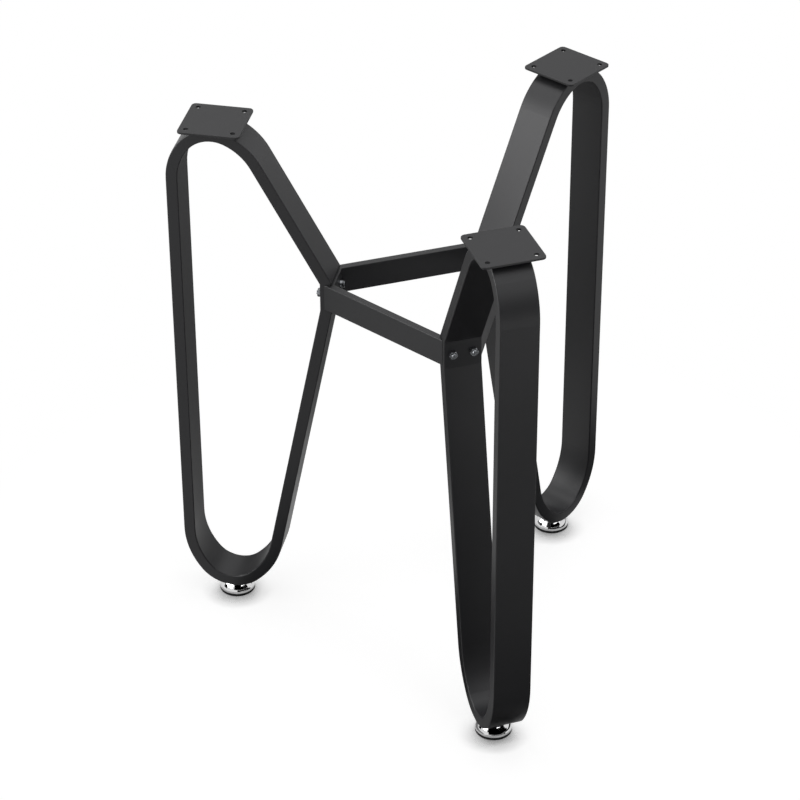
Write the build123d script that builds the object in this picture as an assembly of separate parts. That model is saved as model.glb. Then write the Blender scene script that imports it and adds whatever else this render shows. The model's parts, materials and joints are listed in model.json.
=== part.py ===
from build123d import *
import math
import os

# A tripod base for a table: three looped legs of flat steel tube, bolted to a triangle
# of steel bars, with a screw plate on top of each leg and a levelling foot below it.
# Millimetres, +Z up. The origin is on the floor, on the tripod's own axis.
# Pieces of a leg are drawn along +X, with Y across the tube, and then turned to their places.

# Where the legs stand: degrees about the axis
leg_spacing = 120
leg_turns = {"front": 270, "right": 270 + leg_spacing, "left": 270 - leg_spacing}
bar_turns = {
    "front_right_stretcher": 270 + leg_spacing / 2,
    "rear_stretcher": 90,
    "front_left_stretcher": 270 - leg_spacing / 2,
}

# Overall sizes
base_height = 725
leg_reach = 332

# Leg tube and the shape of its loop, with the turn of a bend's gentler sides in degrees
tube_width = 50
tube_depth = 15.5
tube_wall = 2
tube_corner = 1.5
top_bend_radius = 55
top_side_radius = 85
bottom_bend_radius = 53
bottom_side_radius = 110
bend_side_turn = 38
flat_reach = 120
flat_height = 44
flat_middle = 498
crest_flat_depth = 0.5

# Screw plates
plate_side = 80
plate_thickness = 3
plate_corner = 6
plate_edge = 0.4
plate_hole_spacing = 60
plate_hole_diameter = 6.5

# Stretcher triangle
bar_height = 36
bar_thickness = 10
bar_edge = 0.8
bar_lap = 10
lap_clearance = 0.3
corner_plate_thickness = 3

# Bolts and nuts that clamp the triangle to the legs
bolt_diameter = 6
bolt_length = 25
bolt_spacing = 27
bolt_hole_clearance = 0.3
bolt_point = 0.7
bolt_head_diameter = 10
bolt_head_height = 6
bolt_head_edge = 0.6
bolt_socket_flats = 5
bolt_socket_depth = 3
nut_flats = 10
nut_height = 5
nut_bevel = 0.6
nut_clearance = 0.05

# Threaded inserts in the legs
insert_diameter = 11
insert_length = 9
insert_flange_diameter = 14
insert_flange_thickness = 0.8
insert_seat_depth = 0.6
insert_clearance = 0.1

# Levelling feet
foot_height = 20
foot_diameter = 48
foot_gap = 0.3
pad_thickness = 4.2
pad_edge = 0.4
pad_spigot_diameter = 36
pad_spigot_height = 2
cap_rim_height = 3.2
cap_dome_radius = 24
cap_top_diameter = 31
stud_diameter = 8
stud_root = 8
stud_point = 0.8
stud_headroom = 0.6
stud_clearance = 0.2

# Heights and reaches worked out from the sizes above
plate_seat = base_height - plate_thickness
leg_top = plate_seat + crest_flat_depth
leg_bottom = foot_height
bend_ease = 1 - math.cos(math.radians(bend_side_turn))
top_bend_setback = top_bend_radius + (top_side_radius - top_bend_radius) * bend_ease
bottom_bend_setback = bottom_bend_radius + (bottom_side_radius - bottom_bend_radius) * bend_ease
top_bend_centre = leg_reach - top_bend_setback, leg_top - top_bend_radius
bottom_bend_centre = leg_reach - bottom_bend_setback, leg_bottom + bottom_bend_radius
plate_reach = top_bend_centre[0]
foot_reach = bottom_bend_centre[0]
corner_plate_reach = flat_reach - corner_plate_thickness
nut_reach = flat_reach + tube_depth
insert_seat = leg_bottom + insert_seat_depth
cap_top = insert_seat - insert_flange_thickness - foot_gap
stud_bottom = cap_top - stud_root
stud_top = leg_bottom + tube_depth - tube_wall - stud_headroom

# A bar's outer face ends where it reaches the edges of two leg tubes
half_spacing = math.radians(leg_spacing / 2)
lap_reach = flat_reach + bar_lap
bar_face = lap_reach * math.cos(half_spacing) + tube_width / 2 * math.sin(half_spacing)
bar_length = 2 * lap_reach * math.sin(half_spacing) - tube_width * math.cos(half_spacing)

# Ways to set a box or a cylinder on a place
ON_TOP = (Align.CENTER, Align.CENTER, Align.MIN)
BELOW = (Align.CENTER, Align.CENTER, Align.MAX)
OUTWARD = (Align.MIN, Align.CENTER, Align.CENTER)


def tangent_angle(point, centre, radius, side):
    """Angle, seen from a circle's centre, where a line from an outside point touches the circle."""
    across = point[0] - centre[0]
    up = point[1] - centre[1]
    return math.atan2(up, across) + side * math.acos(radius / math.hypot(across, up))


def point_at(centre, radius, angle):
    """Point of a circle at an angle."""
    return centre[0] + radius * math.cos(angle), centre[1] + radius * math.sin(angle)


def arc(centre, radius, start, end):
    """Arc from one angle to another."""
    return ThreePointArc(*[point_at(centre, radius, angle) for angle in (start, (start + end) / 2, end)])


def bend(centre, radius, side_radius, start, end):
    """Eased bend from one angle to another: a gentle arc on each side of a tighter one."""
    first = start + math.radians(bend_side_turn)
    last = end - math.radians(bend_side_turn)
    first_centre = point_at(centre, radius - side_radius, first)
    last_centre = point_at(centre, radius - side_radius, last)
    return [
        arc(first_centre, side_radius, start, first),
        arc(centre, radius, first, last),
        arc(last_centre, side_radius, last, end),
    ]


def leg_outline():
    """Side view of a leg: an eased bend above and below, an upright outside and a kinked inside."""
    upper_kink = flat_reach, flat_middle + flat_height / 2
    lower_kink = flat_reach, flat_middle - flat_height / 2
    top_end = tangent_angle(upper_kink, top_bend_centre, top_bend_setback, -1) % math.tau
    bottom_start = tangent_angle(lower_kink, bottom_bend_centre, bottom_bend_setback, 1) % -math.tau
    top = bend(top_bend_centre, top_bend_radius, top_side_radius, 0, top_end)
    bottom = bend(bottom_bend_centre, bottom_bend_radius, bottom_side_radius, bottom_start, 0)
    inside = Polyline(top[-1] @ 1, upper_kink, lower_kink, bottom[0] @ 0)
    outside = Line(bottom[-1] @ 1, top[0] @ 0)
    return make_face(Curve() + [*top, inside, *bottom, outside])


def band(outline, inset, depth, width):
    """Even ring that starts an inset inside the leg's outline, with a depth and a width."""
    outer = offset(outline, -inset, kind=Kind.INTERSECTION) if inset else outline
    inner = offset(outline, -inset - depth, kind=Kind.INTERSECTION)
    return extrude(Plane.XZ * (outer - inner), width / 2, both=True)


def bolt_places(reach):
    """The two bolt axes on a leg's flat, pointing away from the tripod's axis."""
    return [
        Plane((reach, side * bolt_spacing / 2, flat_middle), x_dir=(0, 1, 0), z_dir=(1, 0, 0))
        for side in (-1, 1)
    ]


def bolt_holes(reach, depth):
    """Clearance holes for a leg's two bolts."""
    hole = extrude(Circle(bolt_diameter / 2 + bolt_hole_clearance), depth)
    return [place * hole for place in bolt_places(reach)]


def leg_loop():
    """Closed loop of hollow flat tube, with a flat crest for its plate and holes for bolts and insert."""
    outline = leg_outline()
    loop = band(outline, 0, tube_depth, tube_width)
    edge_faces = loop.faces().sort_by(Axis.Y)
    loop = fillet(edge_faces[0].edges() + edge_faces[-1].edges(), tube_corner)
    loop -= band(outline, tube_wall, tube_depth - 2 * tube_wall, tube_width - 2 * tube_wall)
    loop -= Pos(plate_reach, 0, plate_seat) * Box(plate_side, plate_side, plate_thickness, align=ON_TOP)
    insert_place = Pos(foot_reach, 0, insert_seat)
    loop -= insert_place * Cylinder(insert_flange_diameter / 2 + insert_clearance, foot_height, align=BELOW)
    loop -= insert_place * Cylinder(insert_diameter / 2 + insert_clearance, tube_wall, align=ON_TOP)
    return loop - bolt_holes(flat_reach, tube_depth)


def top_plate():
    """Square screw plate with rounded corners and four screw holes."""
    plate = extrude(RectangleRounded(plate_side, plate_side, plate_corner), plate_thickness)
    plate = chamfer(plate.faces().filter_by(Axis.Z).edges(), plate_edge)
    hole = extrude(Circle(plate_hole_diameter / 2), plate_thickness)
    plate -= GridLocations(plate_hole_spacing, plate_hole_spacing, 2, 2) * hole
    return Pos(plate_reach, 0, plate_seat) * plate


def corner_plate():
    """Plate of the triangle that lies flat against a leg and takes its two bolts."""
    plate = Box(corner_plate_thickness, tube_width, bar_height, align=OUTWARD)
    holes = bolt_holes(corner_plate_reach, corner_plate_thickness)
    return Pos(corner_plate_reach, 0, flat_middle) * plate - holes


def stretcher_bar():
    """One side of the triangle, drawn across +X and coped at its ends around corner plates and tubes."""
    cope_width = tube_width + 2 * lap_clearance
    bar = Pos(bar_face - bar_thickness, 0, 0) * Box(bar_thickness, bar_length, bar_height, align=OUTWARD)
    bar = fillet(bar.edges().filter_by(Axis.Y), bar_edge)
    cope = Pos(corner_plate_reach, 0, 0) * Box(bar_length, cope_width, bar_height, align=OUTWARD)
    for side in (-1, 1):
        bar -= Rot(0, 0, side * leg_spacing / 2) * cope
    return Pos(0, 0, flat_middle) * bar


def clamp_bolt():
    """Socket head bolt, drawn with its head's seat on the XY plane and its shank along +Z."""
    head = Cylinder(bolt_head_diameter / 2, bolt_head_height, align=BELOW)
    head = chamfer(head.edges().sort_by(Axis.Z)[0], bolt_head_edge)
    socket = extrude(RegularPolygon(bolt_socket_flats / 2, 6, major_radius=False), bolt_socket_depth)
    shank = Cylinder(bolt_diameter / 2, bolt_length, align=ON_TOP)
    shank = chamfer(shank.edges().sort_by(Axis.Z)[-1], bolt_point)
    return head + shank - Pos(0, 0, -bolt_head_height) * socket


def clamp_nut():
    """Hexagon nut with bevelled corners, drawn with its seat on the XY plane."""
    block = extrude(RegularPolygon(nut_flats / 2, 6, major_radius=False), nut_height)
    bevelled = Cylinder(nut_flats / math.sqrt(3), nut_height, align=ON_TOP)
    bevelled = chamfer(bevelled.edges().filter_by(GeomType.CIRCLE), nut_bevel)
    return (block & bevelled) - Cylinder(bolt_diameter / 2 + nut_clearance, nut_height, align=ON_TOP)


def foot_insert():
    """Flanged threaded insert, seated from below in the lowest point of a leg."""
    insert = Cylinder(insert_flange_diameter / 2, insert_flange_thickness, align=BELOW)
    insert += Cylinder(insert_diameter / 2, insert_length, align=ON_TOP)
    insert -= Cylinder(stud_diameter / 2 + stud_clearance, 2 * insert_length)
    return Pos(foot_reach, 0, insert_seat) * insert


def foot_pad():
    """Black floor pad with a bevelled rim and a spigot that fills the cap's recess."""
    pad = Cylinder(foot_diameter / 2, pad_thickness, align=ON_TOP)
    pad = chamfer(pad.edges().sort_by(Axis.Z)[0], pad_edge)
    spigot = Cylinder(pad_spigot_diameter / 2, pad_spigot_height, align=ON_TOP)
    return Pos(foot_reach, 0, 0) * (pad + Pos(0, 0, pad_thickness) * spigot)


def foot_cap():
    """Turned cap: an upright rim, a domed shoulder, a pad recess below and a stud hole above."""
    rim_top = foot_diameter / 2, pad_thickness + cap_rim_height
    dome_top = cap_top_diameter / 2, cap_top
    rim = Polyline((0, cap_top), (0, pad_thickness), (foot_diameter / 2, pad_thickness), rim_top)
    dome = RadiusArc(rim_top, dome_top, -cap_dome_radius)
    flat = Line(dome_top, (0, cap_top))
    cap = revolve(Plane.XZ * make_face((rim + dome + flat).edges()), Axis.Z)
    cap -= Pos(0, 0, pad_thickness) * Cylinder(pad_spigot_diameter / 2, pad_spigot_height, align=ON_TOP)
    cap -= Pos(0, 0, stud_bottom) * Cylinder(stud_diameter / 2, foot_height, align=ON_TOP)
    return Pos(foot_reach, 0, 0) * cap


def foot_stud():
    """Threaded stud that stands in the cap and screws up into the leg's insert."""
    stud = Cylinder(stud_diameter / 2, stud_top - stud_bottom, align=ON_TOP)
    stud = chamfer(stud.edges().sort_by(Axis.Z)[-1], stud_point)
    return Pos(foot_reach, 0, stud_bottom) * stud


def on_each_leg(shapes):
    """Copies of loose pieces, turned to every leg and kept as one group."""
    return Compound(children=[Rot(0, 0, turn) * shape for turn in leg_turns.values() for shape in shapes])


# One solid for each piece of a leg, by the last part of its name
leg_pieces = {
    "leg_loop": leg_loop(),
    "top_plate": top_plate(),
    "corner_plate": corner_plate(),
    "foot_cap": foot_cap(),
    "foot_stud": foot_stud(),
    "foot_pad": foot_pad(),
}

nodes = {
    f"{leg}_{name}": Rot(0, 0, turn) * piece
    for leg, turn in leg_turns.items()
    for name, piece in leg_pieces.items()
}
nodes |= {name: Rot(0, 0, turn) * stretcher_bar() for name, turn in bar_turns.items()}
nodes["clamp_bolts"] = on_each_leg([place * clamp_bolt() for place in bolt_places(corner_plate_reach)])
nodes["clamp_nuts"] = on_each_leg([place * clamp_nut() for place in bolt_places(nut_reach)])
nodes["foot_inserts"] = on_each_leg([foot_insert()])

os.makedirs("parts", exist_ok=True)
for name, shape in nodes.items():
    export_step(shape, f"parts/{name}.step")
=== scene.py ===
import json
import math

import bmesh
import bpy
from bpy.props import FloatProperty, FloatVectorProperty, IntProperty, PointerProperty
from mathutils import Matrix, Vector


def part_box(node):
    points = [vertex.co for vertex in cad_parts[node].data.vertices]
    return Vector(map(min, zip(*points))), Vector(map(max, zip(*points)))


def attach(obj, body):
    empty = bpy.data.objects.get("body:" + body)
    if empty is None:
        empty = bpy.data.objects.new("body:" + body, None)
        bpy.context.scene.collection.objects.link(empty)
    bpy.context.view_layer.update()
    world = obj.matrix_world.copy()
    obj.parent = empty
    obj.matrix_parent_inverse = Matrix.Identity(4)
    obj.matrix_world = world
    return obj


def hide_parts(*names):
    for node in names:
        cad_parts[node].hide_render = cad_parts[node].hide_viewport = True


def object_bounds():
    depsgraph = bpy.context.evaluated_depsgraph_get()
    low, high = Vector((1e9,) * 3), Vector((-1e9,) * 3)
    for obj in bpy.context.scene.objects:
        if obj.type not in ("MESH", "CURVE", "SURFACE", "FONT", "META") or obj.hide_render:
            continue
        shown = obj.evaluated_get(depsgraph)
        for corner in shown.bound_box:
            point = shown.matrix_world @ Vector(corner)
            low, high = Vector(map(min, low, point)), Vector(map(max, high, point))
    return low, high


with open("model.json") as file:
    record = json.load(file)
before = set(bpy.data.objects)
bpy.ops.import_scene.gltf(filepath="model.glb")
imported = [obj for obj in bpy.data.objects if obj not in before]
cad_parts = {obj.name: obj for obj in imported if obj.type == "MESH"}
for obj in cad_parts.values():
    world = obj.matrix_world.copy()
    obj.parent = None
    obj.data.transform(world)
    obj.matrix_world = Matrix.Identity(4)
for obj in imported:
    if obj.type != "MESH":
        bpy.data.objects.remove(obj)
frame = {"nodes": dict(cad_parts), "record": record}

bl_info = {
    "name": "Tripod Table Base",
    "version": (1, 0, 0),
    "blender": (4, 5, 0),
    "location": "3D View > Sidebar > Table Base",
    "description": "Dresses a steel tripod base for a table and sets it on a white stage",
    "category": "Object",
}

CAD_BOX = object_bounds()
MM = 0.001
LEG_TURNS = {"front": 270, "right": 30, "left": 150}

SHARP_ANGLE = math.radians(32)
# A vee thread: its depth as a share of the pitch, the share of that depth by which its crest is
# cut flat, and the rings in one pitch
THREAD_DEPTH = 0.61
THREAD_TRIM = 0.25
THREAD_ROWS = 6
# Distance of a bolt's knurl from the ends of its head, in bevels of the head's rim
KNURL_START = 1.5
# A weld bead: its half length, its rings and the points of one, the share of its thickness in the
# ripples, the power that rounds its ends, and the least square of its taper there
BEAD_HALF_LENGTH = 22 * MM
BEAD_ROWS = 84
BEAD_STEPS = 16
BEAD_SWELL = 0.1
BEAD_ROUNDING = 6
BEAD_END = 0.04

SOFTBOX_SIZE = 2.4
SOFTBOX_PLACE = (0, -0.2, 2.9)
SENSOR_WIDTH = 36
CAMERA_SIGHT = 100
# The way that the floor looks for a foot, which lays its painted soft shadow to the front of the
# foot
SHADOW_LEAN = (0.29, 0.86, 0.42)
# Shares of open view at which that shadow is full and gone
SHADOW_RANGE = (0.36, 0.9)
SHADOW_SAMPLES = 2
# Share of the lit reach at which the lit paper starts to fade
FADE_START = 0.6

CARD_STEPS = 24
ON_FLOOR = (1 * MM, 1 * MM)
# Cards that steer what each face of the satin coat mirrors: the stage setting that gives a card's
# light (none for black), its inner and outer reach, its turns in degrees and its heights, in metres
CARDS = {
    "left_glow_card": ("sheen", 2.2, 2.2, (150, 212), (0.6, 1.8)),
    "top_card": ("top_sheen", 0, 2.4, (110, 390), (2.4, 2.4)),
    "front_glow_card": ("front_sheen", 2.8, 2.8, (276, 345), (1.5, 2.6)),
    "left_side_card": ("dusk", 0.33, 0.33, (105, 140), (0, 0.1)),
    "front_side_card": ("dusk", 0.235, 0.31, (248, 263), ON_FLOOR),
    "front_low_card": (None, 0.9, 0.9, (235, 321), (0, 0.16)),
    "front_card": (None, 1.6, 1.6, (222, 321), (0.3, 1.1)),
    "front_high_card": (None, 1.6, 1.6, (222, 274), (1.1, 2.0)),
    "left_card": (None, 1.6, 1.6, (159, 178), (0, 0.5)),
    "right_card": ("shade", 2.6, 2.6, (5, 60), (0, 1.0)),
    "centre_card": (None, 0.05, 0.55, (282, 380), ON_FLOOR),
    "front_near_card": ("dusk", 0.33, 0.6, (255, 282), ON_FLOOR),
    "front_middle_card": ("shade", 0.6, 0.9, (255, 330), ON_FLOOR),
    "front_far_card": (None, 0.9, 1.38, (255, 330), ON_FLOOR),
    "front_floor_card": ("front_sheen", 1.38, 2.8, (265, 310), ON_FLOOR),
    "back_low_card": ("top_sheen", 0.9, 0.9, (52, 92), (0.45, 0.7)),
    "back_top_card": ("back_sheen", 0.9, 2.0, (108, 136), (2.39, 2.39)),
    "axis_card": (None, 0.01, 0.2, (150, 272), ON_FLOOR),
    "front_gap_card": ("dusk", 0.2, 0.235, (240, 272), ON_FLOOR),
    "left_floor_card": ("dusk", 0.29, 0.36, (84, 126), ON_FLOOR),
    "back_floor_card": ("dusk", 0.36, 1.6, (20, 126), ON_FLOOR),
}
# A black card in front of each foot, which draws the dark patch in its chrome
FOOT_CARD = (0.034, 0.3, (240, 310), ON_FLOOR)


def linear(colour):
    """Linear red, green and blue of an sRGB hex colour."""
    channels = [int(colour[i:i + 2], 16) / 255 for i in (1, 3, 5)]
    return [c / 12.92 if c <= 0.04045 else ((c + 0.055) / 1.055) ** 2.4 for c in channels]


def opaque(colour):
    """A linear colour with full alpha, as a shader's colour socket takes it."""
    return (*colour, 1.0)


def colour_property(name, description, default):
    """A colour that a user can change, given as sRGB hex."""
    return FloatVectorProperty(
        name=name, description=description, subtype="COLOR", size=3, min=0, max=1,
        default=linear(default),
    )


def length_property(name, description, millimetres):
    """A length that a user can change, given in millimetres and kept in metres."""
    return FloatProperty(
        name=name, description=description, subtype="DISTANCE", unit="LENGTH", min=0,
        default=millimetres * MM,
    )


def angle_property(name, description, degrees):
    """An angle that a user can change, given in degrees and kept in radians."""
    return FloatProperty(
        name=name, description=description, subtype="ANGLE", unit="ROTATION",
        default=math.radians(degrees),
    )


def light_property(name, description, default):
    """A level of light that a user can change, where 1 is plain white."""
    return FloatProperty(name=name, description=description, min=0, default=default)


def count_property(name, description, least, default):
    """A whole number that a user can change."""
    return IntProperty(name=name, description=description, min=least, default=default)


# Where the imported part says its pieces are
PLATE_LOW, PLATE_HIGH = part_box("front_top_plate")
CORNER_LOW, CORNER_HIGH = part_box("front_corner_plate")
STUD_LOW, STUD_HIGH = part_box("front_foot_stud")
CAP_LOW, CAP_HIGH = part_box("front_foot_cap")


class CoatSettings(bpy.types.PropertyGroup):
    """Colours and grain of the black powder coat, and the weld beads under it."""
    dark: colour_property("Dark", "Darker tone of the coat", "#1D1D1F")
    light: colour_property("Light", "Lighter tone of the coat", "#242427")
    drift: length_property("Drift", "Distance over which the tone drifts", 70)
    peel: length_property("Orange peel", "Width of the low waves in the baked coat", 2.4)
    sand: length_property("Sand", "Width of the fine grains in the coat", 0.7)
    relief: length_property("Relief", "Height of the waves and grains", 0.012)
    bead_radius: length_property("Bead radius", "Half thickness of a weld bead", 1.8)
    bead_ripple: length_property("Bead ripple", "Distance between the ripples of a bead", 1.6)
    bead_reach: length_property("Bead reach", "Distance from a plate's middle to a bead", 15.4)
    bead_drop: length_property("Bead drop", "Depth of a bead's middle below a plate", 0.9)


class ScrewSettings(bpy.types.PropertyGroup):
    """Sizes of the clamp bolts' and foot studs' fine detail, and their plating."""
    bright: colour_property("Bright", "Lighter tone of the zinc", "#8A8C8F")
    dull: colour_property("Dull", "Darker tone of the zinc", "#5C5E61")
    crystal: length_property("Crystal", "Width of the clouds in the plating", 1.5)
    bolt_spacing: length_property("Bolt spacing", "Distance between a leg's two bolts", 27)
    bolt_radius: length_property("Bolt radius", "Half of the bolts' thread diameter", 3)
    bolt_length: length_property("Bolt length", "Length of a bolt under its head", 25)
    bolt_pitch: length_property("Bolt pitch", "Rise of a bolt's thread in one turn", 1)
    bolt_plain: length_property("Plain shank", "Length of a bolt without thread", 8)
    head_radius: length_property("Head radius", "Half of the head's diameter", 5)
    head_height: length_property("Head height", "Height of a bolt's head", 6)
    head_edge: length_property("Head edge", "Bevel on a head's rim", 0.6)
    socket_flats: length_property("Socket", "Distance across the socket's flats", 5)
    socket_depth: length_property("Socket depth", "Depth of the socket", 3)
    knurl_depth: length_property("Knurl depth", "Depth of the grooves round a head", 0.18)
    knurl_count: count_property("Knurls", "Grooves round a bolt's head", 0, 32)
    stud_radius: length_property("Stud radius", "Half of the studs' thread diameter", 4)
    stud_pitch: length_property("Stud pitch", "Rise of a stud's thread in one turn", 1.25)
    point: length_property("Point", "Bevel on the end of a thread", 0.7)
    steps: count_property("Steps", "Points round a screw", 12, 96)


class FootSettings(bpy.types.PropertyGroup):
    """Colours and finish of the levelling feet."""
    chrome: colour_property("Chrome", "Tone of the chrome", "#DCDCDC")
    smoke: colour_property("Smoke", "Tone where the plating is thinner", "#C9C9CA")
    haze: length_property("Haze", "Width of the faint polishing clouds", 9)
    rubber: colour_property("Rubber", "Tone of the pads", "#0B0B0C")
    bloom: colour_property("Bloom", "Paler tone where the rubber blooms", "#151517")
    mould: length_property("Mould grain", "Width of the grain left by the mould", 0.9)
    mould_relief: length_property("Mould relief", "Height of that grain", 0.02)


class StageSettings(bpy.types.PropertyGroup):
    """Floor, softbox, cards and camera."""
    floor: colour_property("Floor", "Colour of the floor", "#BCBCBC")
    floor_size: length_property("Floor size", "Side of the floor", 40000)
    bounce: colour_property("Bounce", "Colour of the light that the floor throws back", "#808080")
    glow: light_property("Glow", "Light that the floor gives to the camera", 0.74)
    # The soft shadow in front of the feet is a painted shadow in the floor's glow
    contact: length_property("Contact", "Reach of the soft shadow in front of the feet", 28)
    lit_reach: length_property("Lit reach", "Distance from the axis where the lit paper ends", 700)
    fill: light_property("Fill", "Light from all round", 0.5)
    sky: colour_property("Sky", "Colour of the room above the floor", "#FFFFFF")
    top_power: FloatProperty(
        name="Top", description="Power of the overhead softbox", unit="POWER", min=0, default=12,
    )
    sheen: light_property("Sheen", "Light of the bright card on the left", 9)
    top_sheen: light_property("Top sheen", "Light of the bright cards above and low behind", 2.4)
    front_sheen: light_property("Front sheen", "Light of the bright cards in front", 2.8)
    back_sheen: light_property("Back sheen", "Light of the bright card high behind", 5.6)
    shade: light_property("Shade", "Light of the paler grey cards", 0.6)
    dusk: light_property("Dusk", "Light of the darker grey cards", 0.25)
    camera_reach: length_property("Camera reach", "Distance of the camera from the axis", 3200.9)
    camera_height: length_property("Camera height", "Height of the camera", 2451.4)
    camera_side: angle_property("Camera side", "Turn of the camera round the axis", -18.787)
    camera_heading: angle_property("Camera heading", "Turn of the camera's own view", -18.142)
    camera_dip: angle_property("Camera dip", "Slope of the view below level", 33.378)
    camera_roll: angle_property("Camera roll", "Turn of the picture", -0.241)
    lens: FloatProperty(
        name="Lens", description="Focal length on a 36 mm frame", unit="CAMERA", default=132.44,
    )


def add_node(tree, kind, sockets=None, **settings):
    """Adds a node with its settings, and sets or links its input sockets by name or number."""
    node = tree.nodes.new(kind)
    for name, value in settings.items():
        setattr(node, name, value)
    for socket, value in (sockets or {}).items():
        if isinstance(value, bpy.types.NodeSocket):
            tree.links.new(value, node.inputs[socket])
        else:
            node.inputs[socket].default_value = value
    return node


def empty_material(name):
    """A material with an empty node tree."""
    material = bpy.data.materials.new(name)
    material.use_nodes = True
    material.node_tree.nodes.clear()
    return material


def powder_coated_steel(look):
    """Black polyester powder, sprayed on steel and baked.

    The melted powder leaves low waves and a fine sand, so the black has an even satin sheen
    with no sharp mirror in it, and its tone drifts a little over the length of a leg. The waves
    and grains are too low to be seen one by one.
    """
    material = empty_material("powder_coated_steel")
    tree = material.node_tree
    place = add_node(tree, "ShaderNodeTexCoord").outputs["Object"]
    drift = add_node(
        tree, "ShaderNodeTexNoise", {"Vector": place, "Scale": 1 / look.drift, "Detail": 2.0}
    )
    peel = add_node(
        tree, "ShaderNodeTexNoise", {"Vector": place, "Scale": 1 / look.peel, "Detail": 1.0}
    )
    sand = add_node(
        tree, "ShaderNodeTexNoise", {"Vector": place, "Scale": 1 / look.sand, "Detail": 2.0}
    )
    tone = add_node(tree, "ShaderNodeMix", {
        "Factor": drift.outputs["Fac"], "A": opaque(look.dark), "B": opaque(look.light),
    }, data_type="RGBA")
    rough = add_node(
        tree, "ShaderNodeMapRange", {"Value": sand.outputs["Fac"], "To Min": 0.40, "To Max": 0.50}
    )
    height = add_node(
        tree, "ShaderNodeMath", {0: peel.outputs["Fac"], 1: sand.outputs["Fac"]}, operation="ADD"
    )
    relief = add_node(tree, "ShaderNodeBump", {
        "Height": height.outputs["Value"], "Distance": look.relief, "Strength": 0.6,
    })
    shader = add_node(tree, "ShaderNodeBsdfPrincipled", {
        "Base Color": tone.outputs["Result"], "Roughness": rough.outputs["Result"],
        "Normal": relief.outputs["Normal"], "Specular IOR Level": 0.3,
    })
    add_node(tree, "ShaderNodeOutputMaterial", {"Surface": shader.outputs["BSDF"]})
    return material


def zinc_plated_steel(look):
    """Steel fasteners, zinc plated in a bath and left to dull.

    The plating is a soft grey metal with faint clouds, darker and duller than chrome.
    """
    material = empty_material("zinc_plated_steel")
    tree = material.node_tree
    place = add_node(tree, "ShaderNodeTexCoord").outputs["Object"]
    cloud = add_node(
        tree, "ShaderNodeTexNoise", {"Vector": place, "Scale": 1 / look.crystal, "Detail": 4.0}
    )
    tone = add_node(tree, "ShaderNodeMix", {
        "Factor": cloud.outputs["Fac"], "A": opaque(look.dull), "B": opaque(look.bright),
    }, data_type="RGBA")
    rough = add_node(
        tree, "ShaderNodeMapRange", {"Value": cloud.outputs["Fac"], "To Min": 0.20, "To Max": 0.34}
    )
    shader = add_node(tree, "ShaderNodeBsdfPrincipled", {
        "Base Color": tone.outputs["Result"], "Roughness": rough.outputs["Result"], "Metallic": 1.0,
    })
    add_node(tree, "ShaderNodeOutputMaterial", {"Surface": shader.outputs["BSDF"]})
    return material


def chrome_plated_zinc(look):
    """Die-cast zinc caps, polished and chrome plated.

    The chrome mirrors the stage sharply, with a faint haze where the buffing wheel has passed.
    """
    material = empty_material("chrome_plated_zinc")
    tree = material.node_tree
    place = add_node(tree, "ShaderNodeTexCoord").outputs["Object"]
    haze = add_node(
        tree, "ShaderNodeTexNoise", {"Vector": place, "Scale": 1 / look.haze, "Detail": 3.0}
    )
    tone = add_node(tree, "ShaderNodeMix", {
        "Factor": haze.outputs["Fac"], "A": opaque(look.smoke), "B": opaque(look.chrome),
    }, data_type="RGBA")
    rough = add_node(
        tree, "ShaderNodeMapRange", {"Value": haze.outputs["Fac"], "To Min": 0.03, "To Max": 0.08}
    )
    shader = add_node(tree, "ShaderNodeBsdfPrincipled", {
        "Base Color": tone.outputs["Result"], "Roughness": rough.outputs["Result"], "Metallic": 1.0,
    })
    add_node(tree, "ShaderNodeOutputMaterial", {"Surface": shader.outputs["BSDF"]})
    return material


def moulded_rubber(look):
    """Black rubber pads, pressed in a mould.

    The rubber is nearly black and dull, with a fine grain from the mould and a faint grey bloom.
    """
    material = empty_material("moulded_rubber")
    tree = material.node_tree
    place = add_node(tree, "ShaderNodeTexCoord").outputs["Object"]
    grain = add_node(
        tree, "ShaderNodeTexNoise", {"Vector": place, "Scale": 1 / look.mould, "Detail": 3.0}
    )
    tone = add_node(tree, "ShaderNodeMix", {
        "Factor": grain.outputs["Fac"], "A": opaque(look.rubber), "B": opaque(look.bloom),
    }, data_type="RGBA")
    relief = add_node(tree, "ShaderNodeBump", {
        "Height": grain.outputs["Fac"], "Distance": look.mould_relief, "Strength": 0.5,
    })
    shader = add_node(tree, "ShaderNodeBsdfPrincipled", {
        "Base Color": tone.outputs["Result"], "Normal": relief.outputs["Normal"],
        "Roughness": 0.6, "Specular IOR Level": 0.2,
    })
    add_node(tree, "ShaderNodeOutputMaterial", {"Surface": shader.outputs["BSDF"]})
    return material


def nodes_in_slot(slot):
    """Names of the CAD nodes that the record puts in a material slot."""
    names = [part["node"] for part in frame["record"]["subparts"] if part["material_slot"] == slot]
    if not names:
        raise RuntimeError(f"the record has no node in slot {slot}")
    return names


def finish_nodes(names, material):
    """Gives CAD nodes a material in place of their plain one."""
    for name in names:
        obj = frame["nodes"][name]
        for slot in obj.material_slots:
            slot.material = material


def ring(radius_at, height, steps):
    """Closed ring of points at a height, whose radius depends on the angle."""
    points = []
    for i in range(steps):
        angle = math.tau * i / steps
        radius = radius_at(angle)
        points.append(Vector((radius * math.cos(angle), radius * math.sin(angle), height)))
    return points


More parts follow.
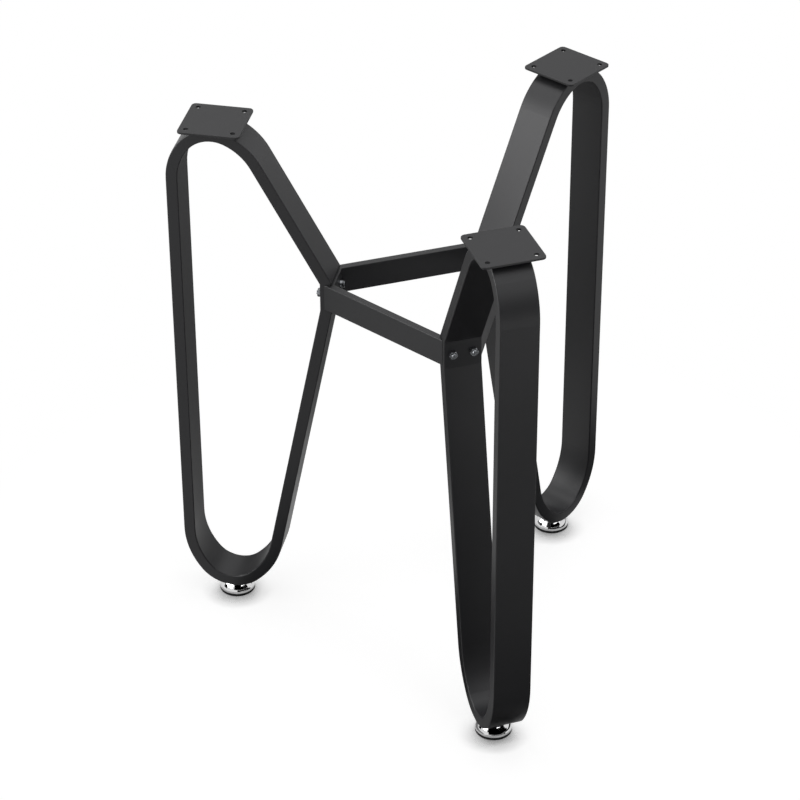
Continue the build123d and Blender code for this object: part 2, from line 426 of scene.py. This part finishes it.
def loft(name, stacks, material, body):
    """One object of closed bodies, each a stack of rings with as many points and two caps."""
    points = []
    faces = []
    for stack in stacks:
        first = len(points)
        steps = len(stack[0])
        points += [point for one in stack for point in one]
        for row in range(len(stack) - 1):
            low = first + row * steps
            for i in range(steps):
                j = (i + 1) % steps
                faces.append((low + i, low + j, low + steps + j, low + steps + i))
        faces.append(tuple(range(first, first + steps)))
        faces.append(tuple(range(len(points) - steps, len(points))))
    mesh = bpy.data.meshes.new(name)
    mesh.from_pydata(points, [], faces)
    shape = bmesh.new()
    shape.from_mesh(mesh)
    bmesh.ops.recalc_face_normals(shape, faces=shape.faces)
    shape.to_mesh(mesh)
    shape.free()
    mesh.shade_smooth()
    mesh.set_sharp_from_angle(angle=SHARP_ANGLE)
    mesh.materials.append(material)
    obj = bpy.data.objects.new(name, mesh)
    bpy.context.scene.collection.objects.link(obj)
    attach(obj, body)
    return obj


def thread_rings(radius, pitch, start, end, steps):
    """Rings of a vee thread between two heights: the groove climbs one pitch in each turn."""
    depth = THREAD_DEPTH * pitch
    rows = round((end - start) / pitch * THREAD_ROWS)

    def surface(height):
        def radius_at(angle):
            phase = (height / pitch - angle / math.tau) % 1
            vee = (1 + THREAD_TRIM) * abs(2 * phase - 1) - THREAD_TRIM
            return radius - depth * max(0, vee)
        return radius_at

    heights = [start + (end - start) * i / rows for i in range(rows + 1)]
    return [ring(surface(height), height, steps) for height in heights]


def bolt_rings(screw):
    """Socket head bolt from its socket's floor to its point, with its head's seat at height 0."""
    steps = screw.steps
    top = -screw.head_height
    knurl_edge = KNURL_START * screw.head_edge
    sixth = math.pi / 3

    def socket(angle):
        return screw.socket_flats / 2 / math.cos((angle + sixth / 2) % sixth - sixth / 2)

    def knurl(angle):
        groove = 0.5 - 0.5 * math.cos(screw.knurl_count * angle)
        return screw.head_radius - screw.knurl_depth * groove

    def plain(radius):
        return lambda angle: radius

    outlines = [
        (socket, top + screw.socket_depth),
        (socket, top),
        (plain(screw.head_radius - screw.head_edge), top),
        (plain(screw.head_radius), top + screw.head_edge),
        (knurl, top + knurl_edge),
        (knurl, -knurl_edge),
        (plain(screw.head_radius), -screw.head_edge),
        (plain(screw.head_radius), 0),
        (plain(screw.bolt_radius), 0),
        (plain(screw.bolt_radius), screw.bolt_plain),
    ]
    rings = [ring(radius_at, height, steps) for radius_at, height in outlines]
    thread_end = screw.bolt_length - screw.point
    rings += thread_rings(screw.bolt_radius, screw.bolt_pitch, screw.bolt_plain, thread_end, steps)
    return rings + [ring(plain(screw.bolt_radius - screw.point), screw.bolt_length, steps)]


def bead_rings(look):
    """Rippled weld bead along the height, thinner at its ends."""
    rings = []
    for row in range(BEAD_ROWS + 1):
        along = BEAD_HALF_LENGTH * (2 * row / BEAD_ROWS - 1)
        ripple = 0.5 + 0.5 * math.cos(math.tau * along / look.bead_ripple)
        taper = math.sqrt(max(BEAD_END, 1 - (along / BEAD_HALF_LENGTH) ** BEAD_ROUNDING))
        radius = look.bead_radius * taper * (1 - BEAD_SWELL + BEAD_SWELL * ripple)
        rings.append(ring(lambda angle: radius, along, BEAD_STEPS))
    return rings


def turned(degrees):
    """Turn about the tripod's axis."""
    return Matrix.Rotation(math.radians(degrees), 4, "Z")


def bolt_place(turn, across):
    """Place of a bolt whose head seats on a corner plate, with its point away from the axis."""
    reach = -CORNER_HIGH.y
    height = (CORNER_LOW.z + CORNER_HIGH.z) / 2
    seat = Matrix.Translation((reach, across, height))
    return turned(turn) @ seat @ Matrix.Rotation(math.pi / 2, 4, "Y")


def moved(rings, place):
    """Rings of points carried to a place."""
    return [[place @ point for point in one] for one in rings]


class TABLEBASE_OT_coat_frame(bpy.types.Operator):
    """Powder coat the leg loops, top plates, stretcher bars and corner plates"""
    bl_idname = "table_base.coat_frame"
    bl_label = "Coat Frame"

    def execute(self, context):
        look = context.scene.table_base_coat
        finish_nodes(nodes_in_slot("black_coat"), powder_coated_steel(look))
        return {"FINISHED"}


class TABLEBASE_OT_weld_plates(bpy.types.Operator):
    """Lay a coated weld bead on both sides of each leg's crest, under its top plate"""
    bl_idname = "table_base.weld_plates"
    bl_label = "Weld Plates"

    def execute(self, context):
        look = context.scene.table_base_coat
        coat = bpy.data.materials["powder_coated_steel"]
        rings = bead_rings(look)
        plate_reach = -(PLATE_LOW.y + PLATE_HIGH.y) / 2
        height = PLATE_LOW.z - look.bead_drop
        lie = Matrix.Rotation(math.pi / 2, 4, "X")
        for leg, turn in LEG_TURNS.items():
            stacks = []
            for side in (-1, 1):
                middle = Matrix.Translation((plate_reach + side * look.bead_reach, 0, height))
                stacks.append(moved(rings, turned(turn) @ (middle @ lie)))
            loft(f"{leg}_plate_welds", stacks, coat, "frame")
        return {"FINISHED"}


class TABLEBASE_OT_thread_bolts(bpy.types.Operator):
    """Make clamp bolts with knurled socket heads and cut threads, and plate all the fasteners"""
    bl_idname = "table_base.thread_bolts"
    bl_label = "Thread Bolts"

    def execute(self, context):
        screw = context.scene.table_base_screw
        zinc = zinc_plated_steel(screw)
        finish_nodes(nodes_in_slot("zinc_plate"), zinc)
        rings = bolt_rings(screw)
        stacks = []
        for turn in LEG_TURNS.values():
            for side in (-1, 1):
                stacks.append(moved(rings, bolt_place(turn, side * screw.bolt_spacing / 2)))
        bolts = loft("threaded_clamp_bolts", stacks, zinc, "frame")
        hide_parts("clamp_bolts")
        return {"FINISHED"}


class TABLEBASE_OT_thread_studs(bpy.types.Operator):
    """Make the foot studs with a cut thread above their caps"""
    bl_idname = "table_base.thread_studs"
    bl_label = "Thread Studs"

    def execute(self, context):
        screw = context.scene.table_base_screw
        zinc = bpy.data.materials["zinc_plated_steel"]
        foot_reach = -(STUD_LOW.y + STUD_HIGH.y) / 2
        thread_end = STUD_HIGH.z - screw.point
        radius = screw.stud_radius
        rings = [ring(lambda angle: radius, STUD_LOW.z, screw.steps)]
        rings += thread_rings(radius, screw.stud_pitch, CAP_HIGH.z, thread_end, screw.steps)
        rings += [ring(lambda angle: radius - screw.point, STUD_HIGH.z, screw.steps)]
        for leg, turn in LEG_TURNS.items():
            place = turned(turn) @ Matrix.Translation((foot_reach, 0, 0))
            stacks = [moved(rings, place)]
            stud = loft(f"{leg}_threaded_stud", stacks, zinc, f"{leg}_foot")
            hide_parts(f"{leg}_foot_stud")
        return {"FINISHED"}


class TABLEBASE_OT_finish_feet(bpy.types.Operator):
    """Chrome the foot caps and give the floor pads their moulded rubber"""
    bl_idname = "table_base.finish_feet"
    bl_label = "Finish Feet"

    def execute(self, context):
        look = context.scene.table_base_foot
        finish_nodes(nodes_in_slot("chrome"), chrome_plated_zinc(look))
        finish_nodes(nodes_in_slot("black_pad"), moulded_rubber(look))
        return {"FINISHED"}


def seen_ray(tree):
    """1 for a ray from the camera, a mirror or a clear solid, and 0 for one that carries light."""
    rays = add_node(tree, "ShaderNodeLightPath").outputs
    mirror = add_node(
        tree, "ShaderNodeMath",
        {0: rays["Is Camera Ray"], 1: rays["Is Glossy Ray"]}, operation="MAXIMUM",
    )
    seen = add_node(
        tree, "ShaderNodeMath",
        {0: mirror.outputs["Value"], 1: rays["Is Transmission Ray"]}, operation="MAXIMUM",
    )
    return seen.outputs["Value"]


def white_floor(stage):
    """Matt white paper under a soft light, which runs out to plain white.

    It keeps the lamp's shadow. Its own glow is dimmed where a foot stands close behind it, which
    paints a short soft shadow in front of the feet.
    """
    material = empty_material("white_paper")
    tree = material.node_tree
    seen = seen_ray(tree)
    tone = add_node(tree, "ShaderNodeMix", {
        "Factor": seen, "A": opaque(stage.bounce), "B": opaque(stage.floor),
    }, data_type="RGBA")
    paper = add_node(tree, "ShaderNodeBsdfDiffuse", {"Color": tone.outputs["Result"]})
    lean = add_node(tree, "ShaderNodeCombineXYZ", dict(enumerate(SHADOW_LEAN)))
    # Painted shadow: the floor's glow is dimmed where the view leaning away from the camera is
    # blocked
    contact = add_node(
        tree, "ShaderNodeAmbientOcclusion",
        {"Distance": stage.contact, "Normal": lean.outputs["Vector"]}, samples=SHADOW_SAMPLES,
    )
    full, gone = SHADOW_RANGE
    shadow = add_node(tree, "ShaderNodeMapRange", {
        "Value": contact.outputs["AO"], "From Min": full, "From Max": gone, "To Max": stage.glow,
    })
    strength = add_node(
        tree, "ShaderNodeMath", {0: seen, 1: shadow.outputs["Result"]}, operation="MULTIPLY"
    )
    glow = add_node(tree, "ShaderNodeEmission", {"Strength": strength.outputs["Value"]})
    near = add_node(
        tree, "ShaderNodeAddShader", {0: paper.outputs["BSDF"], 1: glow.outputs["Emission"]}
    )
    far = add_node(tree, "ShaderNodeEmission", {"Strength": seen})
    place = add_node(tree, "ShaderNodeTexCoord").outputs["Object"]
    reach = add_node(tree, "ShaderNodeVectorMath", {0: place}, operation="LENGTH")
    fade = add_node(tree, "ShaderNodeMapRange", {
        "Value": reach.outputs["Value"],
        "From Min": FADE_START * stage.lit_reach, "From Max": stage.lit_reach,
    })
    surface = add_node(tree, "ShaderNodeMixShader", {
        0: fade.outputs["Result"], 1: near.outputs["Shader"], 2: far.outputs["Emission"],
    })
    add_node(tree, "ShaderNodeOutputMaterial", {"Surface": surface.outputs["Shader"]})
    return material


def grey_card(name, light, inner, outer, turns, heights, middle=(0, 0)):
    """Card that only mirrors see, bent round a middle: flat, or upright where the reaches agree."""
    material = empty_material(name)
    tree = material.node_tree
    shine = add_node(tree, "ShaderNodeEmission", {"Strength": light})
    add_node(tree, "ShaderNodeOutputMaterial", {"Surface": shine.outputs["Emission"]})
    points = []
    for i in range(CARD_STEPS + 1):
        angle = math.radians(turns[0] + (turns[1] - turns[0]) * i / CARD_STEPS)
        for reach, height in ((inner, heights[0]), (outer, heights[1])):
            x = middle[0] + reach * math.cos(angle)
            y = middle[1] + reach * math.sin(angle)
            points.append((x, y, height))
    faces = [(2 * i, 2 * i + 1, 2 * i + 3, 2 * i + 2) for i in range(CARD_STEPS)]
    mesh = bpy.data.meshes.new(name)
    mesh.from_pydata(points, [], faces)
    mesh.materials.append(material)
    card = bpy.data.objects.new(name, mesh)
    card.visible_camera = False
    card.visible_diffuse = False
    card.visible_shadow = False
    card.visible_transmission = False
    bpy.context.scene.collection.objects.link(card)


def square_floor(name, side, material):
    """Level square round the axis at height 0."""
    mesh = bpy.data.meshes.new(name)
    half = side / 2
    corners = [(-half, -half, 0), (half, -half, 0), (half, half, 0), (-half, half, 0)]
    mesh.from_pydata(corners, [], [(0, 1, 2, 3)])
    mesh.materials.append(material)
    obj = bpy.data.objects.new(name, mesh)
    bpy.context.scene.collection.objects.link(obj)


def softbox(name, power, size, place, target):
    """Square area lamp at a place, which points at a target."""
    lamp = bpy.data.lights.new(name, "AREA")
    lamp.energy = power
    lamp.size = size
    obj = bpy.data.objects.new(name, lamp)
    direction = Vector(target) - Vector(place)
    aim = direction.to_track_quat("-Z", "Y").to_matrix().to_4x4()
    obj.matrix_world = Matrix.Translation(place) @ aim
    bpy.context.scene.collection.objects.link(obj)


class TABLEBASE_OT_set_stage(bpy.types.Operator):
    """Set the white floor, the softbox, the cards that steer the sheen, and the camera"""
    bl_idname = "table_base.set_stage"
    bl_label = "Set Stage"

    def execute(self, context):
        scene = context.scene
        stage = scene.table_base_stage
        scene.view_settings.view_transform = "Standard"
        self.light_room(scene, stage)
        self.place_camera(scene, stage)
        return {"FINISHED"}

    def light_room(self, scene, stage):
        """White room and floor to look at, a grey fill, one softbox and the cards."""
        world = bpy.data.worlds.new("white_room")
        scene.world = world
        world.use_nodes = True
        tree = world.node_tree
        tree.nodes.clear()
        tone = add_node(tree, "ShaderNodeMix", {
            "Factor": seen_ray(tree), "A": opaque([stage.fill] * 3), "B": opaque(stage.sky),
        }, data_type="RGBA")
        room = add_node(tree, "ShaderNodeBackground", {"Color": tone.outputs["Result"]})
        add_node(tree, "ShaderNodeOutputWorld", {"Surface": room.outputs["Background"]})
        square_floor("floor", stage.floor_size, white_floor(stage))
        middle = (0, 0, (CAD_BOX[0].z + CAD_BOX[1].z) / 2)
        softbox("top_softbox", stage.top_power, SOFTBOX_SIZE, SOFTBOX_PLACE, middle)
        for name, (level, *outline) in CARDS.items():
            grey_card(name, getattr(stage, level) if level else 0, *outline)
        foot_reach = -(CAP_LOW.y + CAP_HIGH.y) / 2
        for leg, turn in LEG_TURNS.items():
            foot = turned(turn) @ Vector((foot_reach, 0, 0))
            grey_card(f"{leg}_foot_card", 0, *FOOT_CARD, foot)

    def place_camera(self, scene, stage):
        """Camera at the picture's own place, heading, dip and roll."""
        data = bpy.data.cameras.new("camera")
        data.lens = stage.lens
        data.sensor_width = SENSOR_WIDTH
        data.clip_end = CAMERA_SIGHT
        camera = bpy.data.objects.new("camera", data)
        side = stage.camera_side
        spot = Vector((math.sin(side), -math.cos(side), 0)) * stage.camera_reach
        spot.z = stage.camera_height
        tilt = math.pi / 2 - stage.camera_dip
        camera.matrix_world = (
            Matrix.Translation(spot)
            @ Matrix.Rotation(stage.camera_heading, 4, "Z")
            @ Matrix.Rotation(tilt, 4, "X")
            @ Matrix.Rotation(stage.camera_roll, 4, "Z")
        )
        scene.collection.objects.link(camera)
        scene.camera = camera


SETTINGS = {
    "table_base_coat": CoatSettings,
    "table_base_screw": ScrewSettings,
    "table_base_foot": FootSettings,
    "table_base_stage": StageSettings,
}
OPERATORS = (
    TABLEBASE_OT_coat_frame,
    TABLEBASE_OT_weld_plates,
    TABLEBASE_OT_thread_bolts,
    TABLEBASE_OT_thread_studs,
    TABLEBASE_OT_finish_feet,
    TABLEBASE_OT_set_stage,
)


class TABLEBASE_PT_panel(bpy.types.Panel):
    """Steps that dress the base, in order"""
    bl_idname = "TABLEBASE_PT_panel"
    bl_label = "Table Base"
    bl_space_type = "VIEW_3D"
    bl_region_type = "UI"
    bl_category = "Table Base"

    def draw(self, context):
        for operator in OPERATORS:
            self.layout.operator(operator.bl_idname)
        for name, group in SETTINGS.items():
            box = self.layout.box()
            for key in group.__annotations__:
                box.prop(getattr(context.scene, name), key)


def register():
    for kind in (*SETTINGS.values(), *OPERATORS, TABLEBASE_PT_panel):
        bpy.utils.register_class(kind)
    for name, group in SETTINGS.items():
        setattr(bpy.types.Scene, name, PointerProperty(type=group))


def unregister():
    for name in SETTINGS:
        delattr(bpy.types.Scene, name)
    for kind in reversed((*SETTINGS.values(), *OPERATORS, TABLEBASE_PT_panel)):
        bpy.utils.unregister_class(kind)


def main():
    register()
    bpy.ops.table_base.coat_frame()
    bpy.ops.table_base.weld_plates()
    bpy.ops.table_base.thread_bolts()
    bpy.ops.table_base.thread_studs()
    bpy.ops.table_base.finish_feet()
    bpy.ops.table_base.set_stage()


if __name__ == "__main__":
    main()
